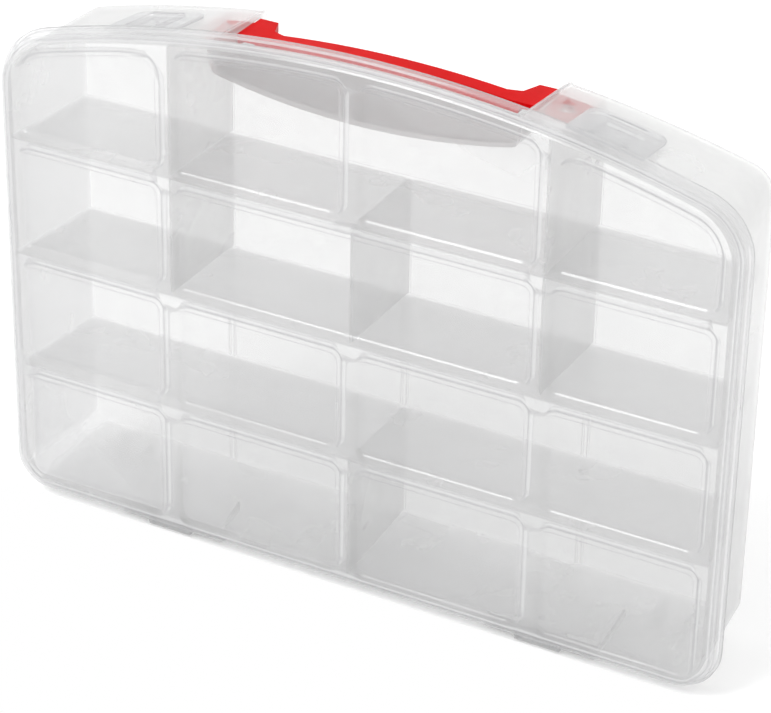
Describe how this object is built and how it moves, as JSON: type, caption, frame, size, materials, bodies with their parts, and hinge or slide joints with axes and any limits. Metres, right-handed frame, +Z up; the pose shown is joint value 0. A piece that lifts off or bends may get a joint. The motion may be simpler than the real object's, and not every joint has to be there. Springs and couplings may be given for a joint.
{
  "type": "parts organizer",
  "caption": "Upright clear case with shelves and removable dividers behind a hinged lid, two snap latches and a strap handle in an arched top.",
  "frame": {"origin": "on the floor, under the middle of the case's width and depth", "axes": "+Z up, +X to the right as one faces the lid, +Y from the lid towards the back panel"},
  "size_m": [0.378, 0.061, 0.2738],
  "materials": {
    "tray_plastic": "translucent, lightly frosted",
    "lid_plastic": "translucent, smooth",
    "divider_plastic": "translucent, lightly frosted",
    "handle_plastic": "glossy red"
  },
  "bodies": {
    "tray": {"tray_back": "tray_plastic", "tray_side_left": "tray_plastic", "tray_side_right": "tray_plastic", "tray_base": "tray_plastic", "tray_top_left": "tray_plastic", "tray_top_right": "tray_plastic", "hand_recess": "tray_plastic", "shelf_lower": "tray_plastic", "shelf_middle": "tray_plastic", "shelf_upper": "tray_plastic", "divider_upper_left": "divider_plastic", "divider_upper_right": "divider_plastic", "divider_second_left": "divider_plastic", "divider_second_centre": "divider_plastic", "divider_second_right": "divider_plastic", "divider_bottom_centre": "divider_plastic"},
    "lid": {"lid_panel": "lid_plastic", "lid_rim": "lid_plastic", "lid_hinge_left": "lid_plastic", "lid_hinge_right": "lid_plastic"},
    "latch_left": {"latch_left": "lid_plastic"},
    "latch_right": {"latch_right": "lid_plastic"},
    "handle": {"handle": "handle_plastic"}
  },
  "joints": [
    {"name": "lid_hinge", "type": "hinge", "parent": "tray", "child": "lid", "pos_m": [0, -0.021, 0.003], "axis": [1, 0, 0], "range_deg": [0, 180]},
    {"name": "latch_left_hinge", "type": "hinge", "parent": "lid", "child": "latch_left", "pos_m": [-0.1165, -0.0176, 0.2601], "axis": [0.9817, 0, 0.1904], "range_deg": [0, 75]},
    {"name": "latch_right_hinge", "type": "hinge", "parent": "lid", "child": "latch_right", "pos_m": [0.1165, -0.0176, 0.2601], "axis": [0.9817, 0, -0.1904], "range_deg": [0, 75]},
    {"name": "handle_lift", "type": "slide", "parent": "tray", "child": "handle", "axis": [0, 0, 1], "range_m": [0, 0.002]}
  ]
}
